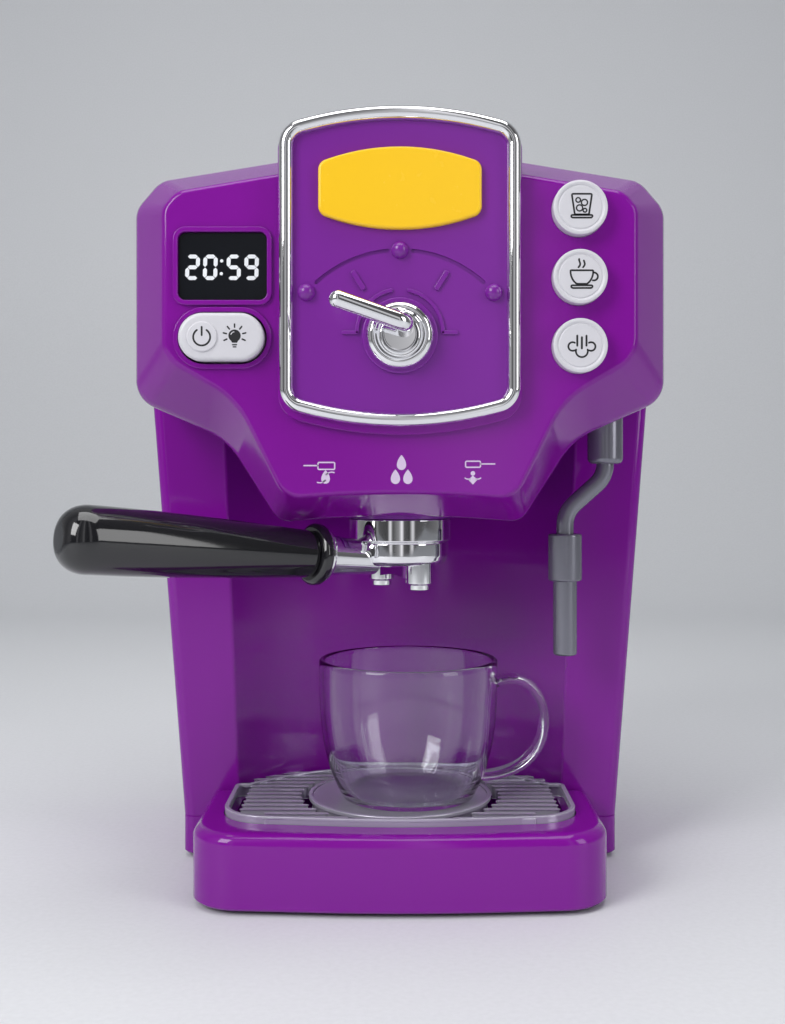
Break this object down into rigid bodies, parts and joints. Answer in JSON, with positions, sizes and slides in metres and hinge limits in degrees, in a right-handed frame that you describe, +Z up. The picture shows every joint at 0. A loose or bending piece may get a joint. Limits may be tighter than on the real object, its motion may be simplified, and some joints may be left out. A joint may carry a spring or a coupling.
{
  "type": "toy coffee maker",
  "caption": "Pretend espresso machine with a dial panel, keys, swinging filter holder, steam wand, drip grille and a clear cup.",
  "frame": {"origin": "on the table, at the centre of the base's footprint", "axes": "+X to the right seen from the front, +Y to the back, +Z up"},
  "size_m": [0.2017, 0.1799, 0.2654],
  "materials": {
    "housing": "glossy injection moulded ABS, purple",
    "rubber": "matte rubber",
    "screw_steel": "plated steel",
    "grille": "satin silver-grey plastic",
    "bright_chrome": "vacuum plated plastic, mirror bright",
    "plate": "glossy yellow plastic",
    "display": "black window",
    "circuit_board": "green board",
    "speaker": "black speaker",
    "battery": "plain battery jacket",
    "keys": "white plastic, soft gloss",
    "grip": "glossy black plastic",
    "wand_grey": "satin grey plastic",
    "clear_cup": "clear polystyrene, polished"
  },
  "bodies": {
    "housing": {"base_housing": "housing", "base_plate": "housing", "rubber_feet": "rubber", "base_screws": "screw_steel", "column_front": "housing", "column_rear": "housing", "head_front": "housing", "head_rear": "housing", "rear_screws": "screw_steel", "dial_panel": "housing", "chrome_frame": "bright_chrome", "name_plate": "plate", "display_window": "display", "display_board": "circuit_board", "control_board": "circuit_board", "main_board": "circuit_board", "speaker": "speaker", "battery_door": "housing", "batteries": "battery", "battery_contacts": "screw_steel", "group_collar": "housing", "wand_socket": "wand_grey"},
    "grille": {"drip_grille": "grille"},
    "cup": {"cup": "clear_cup"},
    "knob": {"steam_knob": "bright_chrome", "knob_retainer": "keys"},
    "iced_button": {"iced_button": "keys"},
    "coffee_button": {"coffee_button": "keys"},
    "steam_button": {"steam_button": "keys"},
    "power_key": {"power_key": "keys"},
    "filter_holder": {"filter_holder": "bright_chrome", "filter_grip": "grip", "grip_collar": "grip"},
    "wand": {"wand_pipe": "wand_grey", "wand_sleeve": "wand_grey"}
  },
  "joints": [
    {"name": "knob_turn", "type": "hinge", "parent": "housing", "child": "knob", "pos_m": [0, -0.075, 0.1905], "axis": [0, 1, 0], "range_deg": [0, 132]},
    {"name": "iced_press", "type": "slide", "parent": "housing", "child": "iced_button", "axis": [0, 1, 0], "range_m": [0, 0.0022], "stiffness_N_per_m": 200, "springref_m": -0.001},
    {"name": "coffee_press", "type": "slide", "parent": "housing", "child": "coffee_button", "axis": [0, 1, 0], "range_m": [0, 0.0022], "stiffness_N_per_m": 200, "springref_m": -0.001},
    {"name": "steam_press", "type": "slide", "parent": "housing", "child": "steam_button", "axis": [0, 1, 0], "range_m": [0, 0.0022], "stiffness_N_per_m": 200, "springref_m": -0.001},
    {"name": "key_rock", "type": "hinge", "parent": "housing", "child": "power_key", "pos_m": [-0.0584, -0.0662, 0.1901], "axis": [0, 0, 1], "range_deg": [-4, 4], "stiffness_Nm_per_rad": 0.05},
    {"name": "filter_swing", "type": "hinge", "parent": "housing", "child": "filter_holder", "pos_m": [0, -0.027, 0.125], "axis": [0, 0, 1], "range_deg": [0, 50]},
    {"name": "wand_swivel", "type": "hinge", "parent": "housing", "child": "wand", "pos_m": [0.0742, -0.031, 0.16], "axis": [0, 0, 1], "range_deg": [-35, 100]},
    {"name": "grille_lift", "type": "slide", "parent": "housing", "child": "grille", "axis": [0, 0, 1], "range_m": [0, 0.004]},
    {"name": "cup_lift", "type": "slide", "parent": "grille", "child": "cup", "axis": [0, 0, 1], "range_m": [0, 0.022]}
  ]
}
